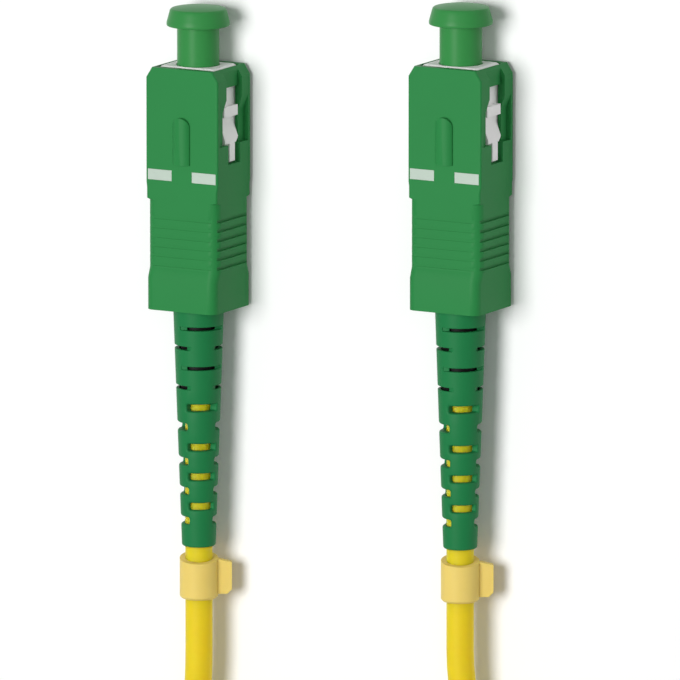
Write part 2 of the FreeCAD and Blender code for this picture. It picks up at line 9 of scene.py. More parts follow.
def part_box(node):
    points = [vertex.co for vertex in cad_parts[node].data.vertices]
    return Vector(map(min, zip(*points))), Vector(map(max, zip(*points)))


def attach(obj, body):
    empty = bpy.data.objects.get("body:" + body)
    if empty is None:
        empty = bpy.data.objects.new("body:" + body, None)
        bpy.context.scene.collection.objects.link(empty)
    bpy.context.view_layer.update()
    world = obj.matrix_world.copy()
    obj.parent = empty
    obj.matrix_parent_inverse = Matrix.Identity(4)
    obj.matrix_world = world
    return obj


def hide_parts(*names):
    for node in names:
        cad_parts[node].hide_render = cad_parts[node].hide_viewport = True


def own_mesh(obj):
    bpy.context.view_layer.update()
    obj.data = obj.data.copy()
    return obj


bl_info = {
    "name": "Fibre Patch Cable",
    "version": (1, 0, 0),
    "blender": (4, 5, 0),
    "location": "View3D > Sidebar > Patch Cable",
    "description": "Dress a fibre optic patch cable: moulded connectors, slotted boots and a jacketed cable",
    "category": "Object",
}

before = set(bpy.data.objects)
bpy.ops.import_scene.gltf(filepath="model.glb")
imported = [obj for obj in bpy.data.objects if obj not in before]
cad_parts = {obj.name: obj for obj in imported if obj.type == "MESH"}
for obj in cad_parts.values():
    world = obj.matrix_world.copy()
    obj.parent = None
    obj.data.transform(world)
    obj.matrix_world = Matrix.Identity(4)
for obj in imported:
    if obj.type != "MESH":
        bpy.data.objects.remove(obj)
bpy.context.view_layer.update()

# Lengths are metres. MM turns a size in millimetres into metres.
MM = 0.001
ENDS = ("a", "b")

# Tails of the cable, from the boot's back: a point inside the boot, two behind it at the boot's height, and
# the dip to the floor. Each tail comes into line with the coil at TAIL_JOIN in front of its join.
TAIL_START = 26.5 * MM
TAIL_LEVEL = (-5.34 * MM, -17.1 * MM)
TAIL_DIP = -28.1 * MM
TAIL_DIP_HEIGHT = 1.5 * MM
TAIL_JOIN = 14.0 * MM

# Order of the cable's smooth curve, and its resolution between its points and round it
CABLE_ORDER = 3
CABLE_RESOLUTION = 6

# Coil: two layers of four columns, wound inwards below and outwards above. Each turn starts on the left and
# shifts to its next place past the tie. The one that climbs swings inwards by a share of the pitch.
COIL_PITCH = 3.02 * MM
COIL_RADIUS = 18.2 * MM
COIL_COLUMNS = 4
COIL_FLOOR = 2.3 * MM
SHIFT_START = math.radians(110)
SHIFT_SPAN = math.radians(150)
SHIFT_BULGE = 0.3

# Tie: its slack off the coil and off itself, its width as an angle about the coil's middle, its lap, the
# ramp on to that lap from where the strap starts, its bends and its hem
TIE_SLACK = 0.03 * MM
TIE_ANGLE = math.radians(24)
TIE_STEPS = 12
TIE_LAP = 5.0 * MM
TIE_RAMP_START = -2.4 * MM
TIE_RAMP_END = 0.6 * MM
TIE_BEND = 1.2 * MM
TIE_BEND_STEPS = 4
TIE_HEM = 0.12 * MM
HEM_ANGLE = math.radians(60)

# Copies of the frame's pieces: weld distance, what counts as flat and what counts as a sharp edge
WELD = 0.0005 * MM
FLAT_ANGLE = math.radians(0.5)
SHARP_ANGLE = math.radians(28)

# Rounding of the plug frames and the clips, as a share of that of the other moulded pieces
FRAME_ROUND_SHARE = 0.6
CLIP_ROUND_SHARE = 1.6

# Boot: its length behind the grip, its radii, the gap round what it is bored for, its faces all round, the
# angle of its first slots from straight up, and the steps of its roundings
BOOT_SHOWN = 26.5 * MM
BOOT_HEAD = 2.775 * MM
BOOT_TIP = 1.85 * MM
BOOT_GAP = 0.05 * MM
BOOT_SIDES = 48
BOOT_ROLL = math.radians(40)
BOOT_ROUND_STEPS = 3

# Slots of the boot, from the grip backwards, in opposite pairs that cross from one to the next. A reach is
# the angle to each side of a slot's middle. A narrow slot is pressed in over its whole reach, with shallow
# ends, and is open to the bore over NARROW_REACH. NARROW_FLOOR is a radius, and NARROW_END is a share of
# the full depth.
NARROW_SLOTS = 4
WIDE_SLOTS = 8
SLOT_START = 2.1 * MM
SLOT_PITCHES = [2.2 * MM] * 6 + [1.65 * MM] * 5
SLOT_WIDTHS = [0.4 * MM] * NARROW_SLOTS + [0.78 * MM] * WIDE_SLOTS
SLOT_REACHES = [math.radians(60)] * NARROW_SLOTS + [math.radians(45)] * WIDE_SLOTS
SLOT_CORNER = 0.24 * MM
NARROW_REACH = math.radians(45)
NARROW_FLOOR = 2.2 * MM
NARROW_END = 0.3
NARROW_CORNER = 0.12 * MM
NARROW_ROUND = 0.08 * MM

# A face belongs to a slot when its middle is this near, and directions agree above this cosine
STATION_REACH = 0.05 * MM
AGREEING = 0.9

# Insertion marks: the key's height over the face they lie in, their start behind the grip's front, their
# size, the gap between the two, their clearance in their pockets and their rounding
KEY_HEIGHT = 0.6 * MM
MARK_START = 11.2 * MM
MARK_WIDTH = 1.2 * MM
MARK_LENGTH = 3.0 * MM
MARK_GAP = 2.5 * MM
MARK_DEPTH = 0.08 * MM
MARK_MARGIN = 0.01 * MM
MARK_ROUND = 0.02 * MM

# Finishes: sizes of the features in them, heights of their relief, the gloss of all but the metals and the
# tie, and how far light goes into the jacket and the clips
CLOUD_SIZE = 3.5 * MM
GRAIN_SIZE = 0.12 * MM
GRAIN_HEIGHT = 0.02 * MM
SCRATCH_SIZE = 0.04 * MM
SCRATCH_HEIGHT = 0.005 * MM
SCRATCH_STRETCH = (0.1, 1.0, 0.1)
LOOP_SIZE = 0.3 * MM
LOOP_HEIGHT = 0.4 * MM
WEAR_SIZE = 2.5 * MM
JACKET_CLOUD_SIZE = 4.0 * MM
JACKET_WAVE_SIZE = 0.6 * MM
JACKET_WAVE_HEIGHT = 0.02 * MM
PLASTIC_GLOSS = {"IOR": 1.33, "Specular IOR Level": 0.25}
JACKET_DEPTH = {
    "Subsurface Weight": 1.0, "Subsurface Radius": (1.0, 0.8, 0.3), "Subsurface Scale": 2.5 * MM}
CLIP_DEPTH = {
    "Subsurface Weight": 0.25, "Subsurface Radius": (1.0, 0.8, 0.4), "Subsurface Scale": 0.6 * MM}

# Colours of the pieces inside the connectors
ZIRCONIA = (0.86, 0.84, 0.80)
NICKEL = (0.62, 0.60, 0.56)
BUFFER = (0.80, 0.78, 0.70)
# The crimp sleeve is a real part, but its near black is painted shade for the dark that shows through the
# boots' slots
CRIMP_PAINTED_SHADE_BLACK = (0.012, 0.013, 0.013)
SPRING_STEEL = (0.52, 0.52, 0.52)

# Stage: the floor's half side, how much of what is seen of it shines by itself, each lamp's size and place,
# and how near the camera sees
WHITE = (1.0, 1.0, 1.0, 1.0)
FLOOR_COLOUR = (0.98, 0.98, 0.98, 1.0)
FLOOR_REACH = 3.0
FLOOR_LIFT = 0.05
LAMPS = {"key": (0.42, (-0.07, 0.08, 0.8)), "fill": (0.5, (0.48, 0.17, 0.86))}
CAMERA_CLIP = 0.01


def tint(red, green, blue):
    """Return a colour given in 8-bit screen values as linear red, green and blue."""
    channels = []
    for value in (red, green, blue):
        share = value / 255
        channels.append(share / 12.92 if share <= 0.04045 else ((share + 0.055) / 1.055) ** 2.4)
    return tuple(channels)


def colour_setting(name, description, default):
    """Return a colour property."""
    return FloatVectorProperty(
        name=name, description=description, subtype="COLOR", size=3, min=0.0, max=1.0, default=default)


def length_setting(name, description, default):
    """Return a property for a length."""
    return FloatProperty(
        name=name, description=description, subtype="DISTANCE", unit="LENGTH", min=0.0, default=default)


def angle_setting(name, description, default):
    """Return a property for an angle."""
    return FloatProperty(
        name=name, description=description, subtype="ANGLE", unit="ROTATION", default=default)


def power_setting(name, description, default):
    """Return a property for a lamp's power in watts."""
    return FloatProperty(
        name=name, description=description, subtype="POWER", unit="POWER", min=0.0, default=default)


class ConnectorSettings(bpy.types.PropertyGroup):
    """Colours and roundings of the moulded connector pieces."""
    grip_colour: colour_setting("Grip", "Colour of the sliding housings", tint(40, 128, 66))
    cap_colour: colour_setting("Cap", "Colour of the dust caps", tint(53, 136, 69))
    boot_colour: colour_setting("Boot", "Colour of the strain reliefs", tint(28, 118, 66))
    frame_colour: colour_setting("Frame", "Colour of the plug frames", tint(248, 246, 246))
    mark_colour: colour_setting("Marks", "Colour of the printed insertion marks", tint(188, 204, 191))
    clip_colour: colour_setting("Clip", "Colour of the clips on the cable", tint(235, 208, 114))
    edge_round: length_setting("Edge rounding", "Width of the rounding on moulded edges", 0.1 * MM)
    boot_round: length_setting("Boot rounding", "Width of the rounding on the wide slots' edges", 0.25 * MM)


class CableSettings(bpy.types.PropertyGroup):
    """Jacket, coil and tie of the cable."""
    jacket_colour: colour_setting("Jacket", "Colour of the cable's jacket", tint(227, 204, 30))
    tie_colour: colour_setting("Tie", "Colour of the woven tie", tint(38, 38, 40))
    diameter: length_setting("Diameter", "Outside diameter of the jacket", 3.0 * MM)
    length: length_setting("Length", "Length of cable from crimp to crimp", 1.0)
    tie_thickness: length_setting("Tie thickness", "Thickness of the woven tie", 0.7 * MM)
    turn_points: IntProperty(
        name="Points in a turn", description="Control points in each turn of the coil", min=12, default=24)


class StageSettings(bpy.types.PropertyGroup):
    """Camera and light of the stage."""
    roll: angle_setting(
        "Roll", "Angle of the view about the connectors' axis, from straight above", math.radians(29.1))
    pitch: angle_setting("Pitch", "Angle of the view towards the caps", math.radians(10.14))
    distance: length_setting("Distance", "Distance of the camera", 2.0)
    lens: FloatProperty(
        name="Lens", description="Focal length of the camera in millimetres", subtype="DISTANCE_CAMERA",
        unit="CAMERA", min=1.0, default=974.0)
    aim: FloatVectorProperty(
        name="Aim", description="Point that the camera looks at", subtype="XYZ", unit="LENGTH", size=3,
        default=(1.37 * MM, -4.005 * MM, 4.2 * MM))
    key_power: power_setting("Key", "Power of the soft key lamp", 5.7)
    fill_power: power_setting("Fill", "Power of the fill lamp beside the camera", 0.8)
    sky: FloatProperty(
        name="Sky", description="Strength of the even light from all round", subtype="FACTOR", min=0.0,
        max=1.0, default=0.16)


def shade(colour, factor):
    """Return a colour, made lighter or darker, with full alpha."""
    return tuple(min(1.0, channel * factor) for channel in colour) + (1.0,)


class Wire:
    """A node's output that takes part in Python arithmetic, where each step adds a Math node."""

    def __init__(self, finish, socket):
        self.finish = finish
        self.socket = socket

    def math(self, operation, *values):
        """Return the result of a Math node."""
        return self.finish.node("ShaderNodeMath", {"operation": operation}, dict(enumerate(values)))

    def __add__(self, other):
        return self.math("ADD", self, other)

    def __radd__(self, other):
        return self.math("ADD", other, self)

    def __mul__(self, other):
        return self.math("MULTIPLY", self, other)

    def __rmul__(self, other):
        return self.math("MULTIPLY", other, self)


class Finish:
    """The nodes of one material, or of the world."""

    def __init__(self, owner):
        self.owner = owner
        owner.use_nodes = True
        self.tree = owner.node_tree
        self.tree.nodes.clear()

    def node(self, kind, settings=None, sockets=None, output=0):
        """Add a node, its settings first and then its sockets' values or links, and return one output."""
        node = self.tree.nodes.new(kind)
        for name, value in (settings or {}).items():
            setattr(node, name, value)
        for key, value in (sockets or {}).items():
            if isinstance(value, Wire):
                self.tree.links.new(value.socket, node.inputs[key])
            else:
                node.inputs[key].default_value = value
        return Wire(self, node.outputs[output]) if node.outputs else None

    def place(self):
        """Return the object's own coordinates."""
        return self.node("ShaderNodeTexCoord", output="Object")

    def noise(self, where, size, detail=2.0, roughness=0.5):
        """Return soft noise from 0 to 1 with features of about one size."""
        return self.node(
            "ShaderNodeTexNoise", {"noise_dimensions": "3D"},
            {"Vector": where, "Scale": 1 / size, "Detail": detail, "Roughness": roughness})

    def tones(self, tone, colour, darkest, lightest):
        """Return a colour that a tone from 0 to 1 takes from its darkest to its lightest."""
        # A Mix node has its factor at 0, its two colours at 6 and 7, and their mix at output 2
        sockets = {0: tone, 6: shade(colour, darkest), 7: shade(colour, lightest)}
        return self.node("ShaderNodeMix", {"data_type": "RGBA"}, sockets, 2)

    def bump(self, height, strength, distance):
        """Return normals tilted by a height."""
        return self.node(
            "ShaderNodeBump", None, {"Height": height, "Strength": strength, "Distance": distance})

    def surface(self, sockets):
        """End the material in one principled shader and return the material."""
        shader = self.node("ShaderNodeBsdfPrincipled", None, sockets)
        self.node("ShaderNodeOutputMaterial", None, {"Surface": shader})
        return self.owner


def blend(first, second, share):
    """Return one tone made of two, of which the first has a share."""
    return first * share + second * (1 - share)


def around(tone, middle, spread):
    """Return a value that a tone from 0 to 1 moves over a spread about a middle."""
    return middle - spread / 2 + tone * spread


def moulded(name, colour, roughness, grain=0.12, spread=0.05, depth=None):
    """Return a moulded plastic: faint clouds in its colour and gloss over a fine tool grain."""
    finish = Finish(bpy.data.materials.new(name))
    place = finish.place()
    cloud = finish.noise(place, CLOUD_SIZE, detail=3.0)
    speck = finish.noise(place, GRAIN_SIZE, roughness=0.6)
    tone = blend(cloud, speck, share=0.7)
    return finish.surface({
        "Base Color": finish.tones(tone, colour, darkest=1 - spread, lightest=1 + spread),
        "Roughness": around(tone, middle=roughness, spread=0.1),
        "Normal": finish.bump(speck, strength=grain, distance=GRAIN_HEIGHT),
        **PLASTIC_GLOSS,
        **(depth or {}),
    })


def metal(name, colour, roughness):
    """Return a turned metal with fine rings of scratches across its length."""
    finish = Finish(bpy.data.materials.new(name))
    lathe = finish.node(
        "ShaderNodeMapping", {"vector_type": "POINT"}, {"Vector": finish.place(), "Scale": SCRATCH_STRETCH})
    scratch = finish.noise(lathe, SCRATCH_SIZE)
    return finish.surface({
        "Base Color": finish.tones(scratch, colour, darkest=0.9, lightest=1.05),
        "Metallic": 1.0,
        "Roughness": around(scratch, middle=roughness, spread=0.16),
        "Normal": finish.bump(scratch, strength=0.1, distance=SCRATCH_HEIGHT),
    })


def woven(name, colour):
    """Return the loop side of a woven strap."""
    finish = Finish(bpy.data.materials.new(name))
    place = finish.place()
    loops = finish.noise(place, LOOP_SIZE, detail=3.0, roughness=0.7)
    worn = finish.noise(place, WEAR_SIZE)
    tone = blend(loops, worn, share=0.75)
    return finish.surface({
        "Base Color": finish.tones(tone, colour, darkest=0.3, lightest=2.6),
        "Roughness": around(worn, middle=0.9, spread=0.1),
        "Normal": finish.bump(loops, strength=1.0, distance=LOOP_HEIGHT),
    })


def jacket(name, colour):
    """Return the cable's extruded jacket: smooth, with a faint waviness and clouding."""
    finish = Finish(bpy.data.materials.new(name))
    place = finish.place()
    cloud = finish.noise(place, JACKET_CLOUD_SIZE, detail=3.0)
    wave = finish.noise(place, JACKET_WAVE_SIZE)
    tone = blend(cloud, wave, share=0.6)
    return finish.surface({
        "Base Color": finish.tones(tone, colour, darkest=0.95, lightest=1.05),
        "Roughness": around(tone, middle=0.42, spread=0.12),
        "Normal": finish.bump(wave, strength=0.1, distance=JACKET_WAVE_HEIGHT),
        **PLASTIC_GLOSS,
        **JACKET_DEPTH,
    })


def new_piece(name, shape, material, body):
    """Make a piece of a bmesh, with smooth faces between its sharp edges."""
    mesh = bpy.data.meshes.new(name)
    shape.to_mesh(mesh)
    shape.free()
    mesh.materials.append(material)
    mesh.shade_smooth()
    mesh.set_sharp_from_angle(angle=SHARP_ANGLE)
    piece = bpy.data.objects.new(name, mesh)
    bpy.context.scene.collection.objects.link(piece)
    piece.modifiers.new("flat_faces_stay_flat", "WEIGHTED_NORMAL").keep_sharp = True
    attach(piece, body)
    return piece


def welded(node_name):
    """Return a copy of a piece of the frame, its triangles joined into flat faces."""
    shape = bmesh.new()
    shape.from_mesh(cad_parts[node_name].data)
    bmesh.ops.remove_doubles(shape, verts=shape.verts, dist=WELD)
    bmesh.ops.dissolve_limit(shape, angle_limit=FLAT_ANGLE, verts=shape.verts, edges=shape.edges)
    return shape


def sharp_edges(shape, angle=SHARP_ANGLE):
    """Return the edges of a shape whose faces meet at more than an angle."""
    return [edge for edge in shape.edges if edge.is_manifold and edge.calc_face_angle() > angle]


def soften(shape, geometry, width, segments=2, affect="EDGES", clamped=True):
    """Round edges of a shape, or corners of a line, and clear what the rounding shrinks to nothing."""
    bmesh.ops.bevel(
        shape, geom=geometry, offset=width, offset_type="OFFSET", segments=segments, profile=0.5,
        affect=affect, clamp_overlap=clamped, material=-1)
    bmesh.ops.dissolve_degenerate(shape, dist=WELD, edges=shape.edges)


def dress(stem, material):
    """Give the same piece of both ends its finish."""
    for end in ENDS:
        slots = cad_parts[stem + "_" + end].data.materials
        slots.clear()
        slots.append(material)


def dress_softly(stem, piece_stem, width, material, body):
    """Stand a copy with rounded edges in for the same piece of both ends."""
    for end in ENDS:
        node_name = stem + "_" + end
        shape = welded(node_name)
        soften(shape, sharp_edges(shape), width)
        piece = new_piece(piece_stem + "_" + end, shape, material, body.format(end))
        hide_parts(node_name)


def ease(share):
    """Return a share from 0 to 1 with a soft start and end."""
    share = min(1.0, max(0.0, share))
    return share * share * (3 - 2 * share)


def coil_points(turn_points):
    """Return the coil's control points, from the left of the lower layer to the right of the upper one."""
    low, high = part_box("cable_coil")
    centre = (low + high) / 2
    outer = COIL_RADIUS + COIL_PITCH * (COIL_COLUMNS - 1) / 2
    inwards = [(column, 0) for column in range(COIL_COLUMNS)]
    cells = inwards + [(column, 1) for column, _ in reversed(inwards)]
    last = len(cells) - 1
    step = 2 * math.pi / turn_points
    # The cable's curve runs inside its control points, so they stand a little further out
    swell = 1 / (0.75 + 0.25 * math.cos(step))
    points = []
    for index in range((2 * last + 1) * turn_points // 2 + 1):
        turn, place = divmod(index, turn_points)
        share = ease((place * step - SHIFT_START) / SHIFT_SPAN)
        column, row = cells[turn]
        next_column, next_row = cells[min(turn + 1, last)]
        across = column + (next_column - column) * share
        if row != next_row:
            across += SHIFT_BULGE * math.sin(math.pi * share)
        radius = (outer - across * COIL_PITCH) * swell
        height = COIL_FLOOR + (row + (next_row - row) * share) * COIL_PITCH
        angle = math.pi + index * step
        points.append(Vector((
            centre.x + radius * math.cos(angle), centre.y + radius * math.sin(angle), height)))
    return points


def tail_points(end, join):
    """Return the control points of one end's tail, from inside its boot to just in front of the coil."""
    low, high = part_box("boot_" + end)
    middle, height = (low.x + high.x) / 2, (low.z + high.z) / 2
    points = [(middle, low.y + offset, height) for offset in (TAIL_START, *TAIL_LEVEL)]
    points.append(((middle + join.x) / 2, low.y + TAIL_DIP, TAIL_DIP_HEIGHT))
    points.append((join.x, join.y + TAIL_JOIN, (join.z + TAIL_DIP_HEIGHT) / 2))
    return points


class PATCHCABLE_OT_tie(bpy.types.Operator):
    """Wrap the woven strap round the coil"""
    bl_idname = "patchcable.tie"
    bl_label = "Wrap Tie"

    def execute(self, context):
        settings = context.scene.patch_cable
        low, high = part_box("cable_coil")
        centre = (low + high) / 2
        half = COIL_PITCH * (COIL_COLUMNS - 1) / 2 + settings.diameter / 2 + TIE_SLACK
        inner, outer = COIL_RADIUS - half, COIL_RADIUS + half
        bottom = COIL_FLOOR - settings.diameter / 2 - TIE_SLACK
        top = COIL_FLOOR + COIL_PITCH + settings.diameter / 2 + TIE_SLACK
        start = COIL_RADIUS - TIE_LAP / 2
        flap = top + settings.tie_thickness + TIE_SLACK
        line = [
            (start, top), (outer, top), (outer, bottom), (inner, bottom), (inner, top),
            (start + TIE_RAMP_START, top), (start + TIE_RAMP_END, flap), (start + TIE_LAP, flap)]
        turn = Matrix.Translation(centre) @ Matrix.Rotation(-TIE_ANGLE / 2, 4, "Z")
        shape = bmesh.new()
        verts = [shape.verts.new(turn @ Vector((0, -radius, height - centre.z))) for radius, height in line]
        for first, second in zip(verts, verts[1:]):
            shape.edges.new((first, second))
        soften(shape, verts[1:-1], TIE_BEND, TIE_BEND_STEPS, affect="VERTICES")
        bmesh.ops.spin(
            shape, geom=shape.verts[:] + shape.edges[:], cent=centre, axis=(0, 0, 1), angle=TIE_ANGLE,
            steps=TIE_STEPS, use_merge=False, use_duplicate=False)
        bmesh.ops.recalc_face_normals(shape, faces=shape.faces)
        bmesh.ops.solidify(shape, geom=shape.faces[:], thickness=-settings.tie_thickness)
        bmesh.ops.recalc_face_normals(shape, faces=shape.faces)
        soften(shape, sharp_edges(shape, HEM_ANGLE), TIE_HEM)
        cloth = woven("tie_woven", settings.tie_colour)
        strap = new_piece("coil_strap", shape, cloth, "cable")
        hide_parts("coil_tie")
        return {"FINISHED"}


class PATCHCABLE_OT_cable(bpy.types.Operator):
    """Lay the cable from one crimp through the coil to the other"""
    bl_idname = "patchcable.cable"
    bl_label = "Lay Cable"

    def execute(self, context):
        settings = context.scene.patch_cable
        coil = coil_points(settings.turn_points)
        points = tail_points("a", coil[0]) + coil + tail_points("b", coil[-1])[::-1]
        line = bpy.data.curves.new("cable_jacket", "CURVE")
        line.dimensions = "3D"
        line.bevel_depth = settings.diameter / 2
        line.bevel_resolution = CABLE_RESOLUTION
        line.resolution_u = CABLE_RESOLUTION
        line.use_fill_caps = True
        spline = line.splines.new("NURBS")
        spline.points.add(len(points) - 1)
        for point, place in zip(spline.points, points):
            point.co = (*place, 1.0)
        spline.order_u = CABLE_ORDER
        spline.use_endpoint_u = True
        spline.use_smooth = True
        line.materials.append(jacket("jacket_yellow_extruded", settings.jacket_colour))
        cable = bpy.data.objects.new("cable_jacket", line)
        context.scene.collection.objects.link(cable)
        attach(cable, "cable")
        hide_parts("cable_tail_a", "cable_tail_b", "cable_coil")
        return {"FINISHED"}


class PATCHCABLE_OT_grips(bpy.types.Operator):
    """Finish the sliding housings"""
    bl_idname = "patchcable.grips"
    bl_label = "Finish Grips"

    def execute(self, context):
        settings = context.scene.patch_connector
        green = moulded("grip_green_satin", settings.grip_colour, roughness=0.5)
        dress_softly("grip", "grip_shell", settings.edge_round, green, "grip_{}")
        return {"FINISHED"}


class PATCHCABLE_OT_marks(bpy.types.Operator):
    """Fill the insertion marks into the pockets of the keyed faces"""
    bl_idname = "patchcable.marks"
    bl_label = "Fill Marks"

    def execute(self, context):
        settings = context.scene.patch_connector
        pale = moulded("mark_print", settings.mark_colour, roughness=0.5, grain=0.06)
        size = Vector((MARK_LENGTH, MARK_WIDTH, MARK_DEPTH)) - Vector((2, 2, 1)) * MARK_MARGIN
        for end in ENDS:
            low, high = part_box("grip_" + end)
            middle = (low.x + high.x) / 2
            row = high.y - MARK_START - MARK_WIDTH / 2
            height = high.z - KEY_HEIGHT - MARK_DEPTH / 2
            shape = bmesh.new()
            for side in (-1, 1):
                centre = Vector((middle + side * (MARK_GAP + MARK_LENGTH) / 2, row, height))
                place = Matrix.Translation(centre) @ Matrix.Diagonal((*size, 1.0))
                bmesh.ops.create_cube(shape, size=1.0, matrix=place)
            soften(shape, shape.edges[:], MARK_ROUND)
            new_piece("insertion_marks_" + end, shape, pale, "grip_" + end)
        return {"FINISHED"}


class PATCHCABLE_OT_plug_frames(bpy.types.Operator):
    """Finish the pale inner frames with their latch shoulders"""
    bl_idname = "patchcable.plug_frames"
    bl_label = "Finish Plug Frames"

    def execute(self, context):
        settings = context.scene.patch_connector
        white = moulded("frame_white_matt", settings.frame_colour, roughness=0.5, spread=0.03)
        width = settings.edge_round * FRAME_ROUND_SHARE
        dress_softly("plug_frame", "plug_frame_shell", width, white, "cable")
        return {"FINISHED"}


class PATCHCABLE_OT_ferrules(bpy.types.Operator):
    """Finish the ferrules"""
    bl_idname = "patchcable.ferrules"
    bl_label = "Finish Ferrules"

    def execute(self, context):
        dress("ferrule", moulded("zirconia_ground", ZIRCONIA, roughness=0.16, grain=0.02, spread=0.02))
        return {"FINISHED"}


class PATCHCABLE_OT_fibres(bpy.types.Operator):
    """Finish the buffered fibres"""
    bl_idname = "patchcable.fibres"
    bl_label = "Finish Fibres"

    def execute(self, context):
        dress("fibre", moulded("fibre_buffer_smooth", BUFFER, roughness=0.4))
        return {"FINISHED"}


class PATCHCABLE_OT_metalwork(bpy.types.Operator):
    """Finish the flanges, the back posts and the crimps"""
    bl_idname = "patchcable.metalwork"
    bl_label = "Finish Metalwork"

    def execute(self, context):
        nickel = metal("nickel_plate", NICKEL, roughness=0.3)
        dress("ferrule_flange", nickel)
        dress("back_post", nickel)
        # The crimps' near black is painted shade: it darkens what shows through the boots' slots
        dress("crimp_sleeve", metal("crimp_painted_shade_black", CRIMP_PAINTED_SHADE_BLACK, roughness=0.55))
        return {"FINISHED"}


class PATCHCABLE_OT_springs(bpy.types.Operator):
    """Finish the springs, each with a mesh of its own"""
    bl_idname = "patchcable.springs"
    bl_label = "Finish Springs"

    def execute(self, context):
        wire = metal("spring_wire", SPRING_STEEL, roughness=0.32)
        for end in ENDS:
            piece = new_piece("spring_coil_" + end, welded("spring_" + end), wire, "cable")
            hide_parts("spring_" + end)
            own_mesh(piece)
        return {"FINISHED"}


class PATCHCABLE_OT_boots(bpy.types.Operator):
    """Turn the strain reliefs, cut their slots and round their edges"""
    bl_idname = "patchcable.boots"
    bl_label = "Make Boots"

    def execute(self, context):
        settings = context.scene.patch_connector
        rubber = moulded("boot_green_rubber", settings.boot_colour, roughness=0.5, grain=0.18)
        for end in ENDS:
            low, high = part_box("boot_" + end)
            axis = (low + high) / 2
            stations = [low.y + BOOT_SHOWN - SLOT_START]
            for pitch in SLOT_PITCHES:
                stations.append(stations[-1] - pitch)
            shape = self.turned(end, axis, low.y, high.y, stations)
            self.cut_slots(shape, axis, stations)
            split = (stations[NARROW_SLOTS - 1] + stations[NARROW_SLOTS]) / 2
            self.round_edges(shape, axis, split, ahead=True, corner=NARROW_CORNER, rim=NARROW_ROUND)
            self.round_edges(shape, axis, split, ahead=False, corner=SLOT_CORNER, rim=settings.boot_round)
            piece = new_piece("boot_sleeve_" + end, shape, rubber, "cable")
            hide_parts("boot_" + end)
        return {"FINISHED"}

    def turned(self, end, axis, back, front, stations):
        """Return the tapered sleeve with a row of faces at each slot, bored for the crimp and the cable."""
        crimp_low, crimp_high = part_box("crimp_sleeve_" + end)
        shoulder = crimp_low.y - BOOT_GAP
        wide = (crimp_high.x - crimp_low.x) / 2 + BOOT_GAP
        narrow = bpy.context.scene.patch_cable.diameter / 2 + BOOT_GAP
        grip_back = back + BOOT_SHOWN
        taper = (BOOT_HEAD - BOOT_TIP) / BOOT_SHOWN
        rows = [row + side * width / 2 for row, width in zip(stations, SLOT_WIDTHS) for side in (1, -1)]
        line = [(BOOT_HEAD, front), (BOOT_HEAD, grip_back)]
        line += [(BOOT_HEAD - (grip_back - row) * taper, row) for row in rows]
        line += [(BOOT_TIP, back), (narrow, back)]
        line += [(narrow, row) for row in reversed(rows) if row < shoulder]
        line += [(narrow, shoulder), (wide, shoulder)]
        line += [(wide, row) for row in reversed(rows) if row > shoulder]
        line += [(wide, front)]
        shape = bmesh.new()
        start = Vector((math.sin(BOOT_ROLL), 0.0, math.cos(BOOT_ROLL)))
        verts = [shape.verts.new(Vector((axis.x, row, axis.z)) + start * radius) for radius, row in line]
        for first, second in zip(verts, verts[1:] + verts[:1]):
            shape.edges.new((first, second))
        bmesh.ops.spin(
            shape, geom=shape.verts[:] + shape.edges[:], cent=axis, axis=(0, 1, 0), angle=2 * math.pi,
            steps=BOOT_SIDES, use_merge=True, use_duplicate=False)
        bmesh.ops.remove_doubles(shape, verts=shape.verts, dist=WELD)
        bmesh.ops.recalc_face_normals(shape, faces=shape.faces)
        return shape

    def cut_slots(self, shape, axis, stations):
        """Cut each pair of slots, a quarter turn from the pair before it."""
        for index, (station, reach) in enumerate(zip(stations, SLOT_REACHES)):
            turn = BOOT_ROLL + (index % 2) * math.pi / 2
            across = Vector((math.sin(turn), 0.0, math.cos(turn)))
            for side in (across, -across):
                opened = reach
                if index < NARROW_SLOTS:
                    self.sink_slot(shape, axis, station, side, reach)
                    opened = NARROW_REACH
                self.open_slot(shape, self.slot_faces(shape, axis, station, side, opened))
        bmesh.ops.recalc_face_normals(shape, faces=shape.faces)

    def round_edges(self, shape, axis, split, ahead, corner, rim):
        """Round the slots' corners and then the outside edges, ahead of a station or behind it."""
        edges = self.edges_beside(shape, split, ahead)
        soften(shape, [edge for edge in edges if self.radial(edge, axis)], corner, BOOT_ROUND_STEPS)
        rims = [
            edge for edge in self.edges_beside(shape, split, ahead)
            if edge.is_convex and any(self.faces_out(face, axis) for face in edge.link_faces)]
        soften(shape, rims, rim, BOOT_ROUND_STEPS, clamped=False)

    def edges_beside(self, shape, split, ahead):
        """Return the sharp edges ahead of a station or behind it."""
        return [edge for edge in sharp_edges(shape) if (edge.verts[0].co.y > split) == ahead]

    def outwards(self, face, axis):
        """Return the direction from the boot's axis to a face."""
        away = face.calc_center_median() - axis
        away.y = 0.0
        return away.normalized()

    def faces_out(self, face, axis):
        """Tell whether a face looks straight away from the boot's axis."""
        return face.normal.dot(self.outwards(face, axis)) > AGREEING

    def radial(self, edge, axis):
        """Tell whether an edge runs straight in towards the boot's axis."""
        first, second = edge.verts
        away = (first.co + second.co) / 2 - axis
        away.y = 0.0
        return abs((first.co - second.co).normalized().dot(away.normalized())) > AGREEING

    def slot_faces(self, shape, axis, station, side, reach):
        """Return the faces of the outside and the bore that one slot takes up."""
        return [
            face for face in shape.faces
            if abs(face.calc_center_median().y - station) < STATION_REACH
            and self.outwards(face, axis).dot(side) > math.cos(reach)]

